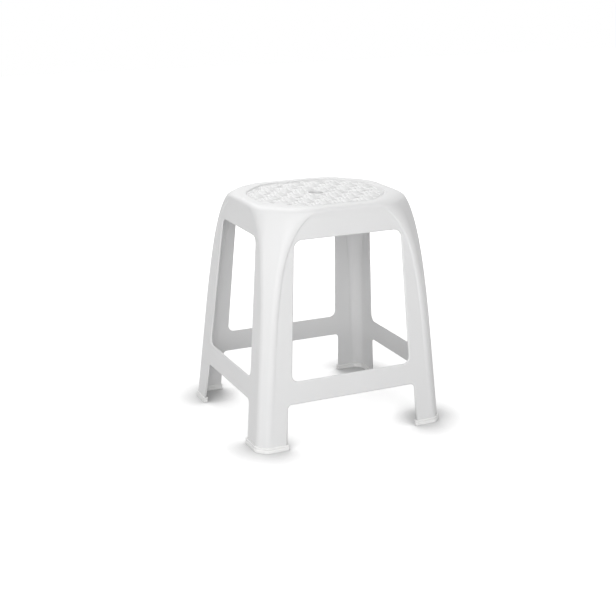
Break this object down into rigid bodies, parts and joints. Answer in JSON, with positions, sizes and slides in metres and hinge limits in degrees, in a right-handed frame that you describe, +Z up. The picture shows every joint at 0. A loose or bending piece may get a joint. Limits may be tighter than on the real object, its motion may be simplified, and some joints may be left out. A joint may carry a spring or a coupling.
{
  "type": "stacking stool",
  "caption": "Nesting plastic stool: rounded seat with a sunk field and a finger hole, apron, splayed angle legs with rails between them, and a push-on cap on every foot.",
  "frame": {"origin": "on the floor under the middle of the seat", "axes": "+Z up from the floor to the seat; X along the long sides of the seat, Y along its short sides; -Y is the long side that faces forward"},
  "size_m": [0.402, 0.356, 0.45],
  "materials": {
    "moulding": "white polypropylene as moulded, semi-gloss with a fine grain",
    "foot_cap": "whiter soft plastic, satin"
  },
  "bodies": {
    "root": {"seat_and_leg_moulding": "moulding", "foot_cap_front_left": "foot_cap", "foot_cap_front_right": "foot_cap", "foot_cap_rear_left": "foot_cap", "foot_cap_rear_right": "foot_cap"}
  },
  "joints": []
}
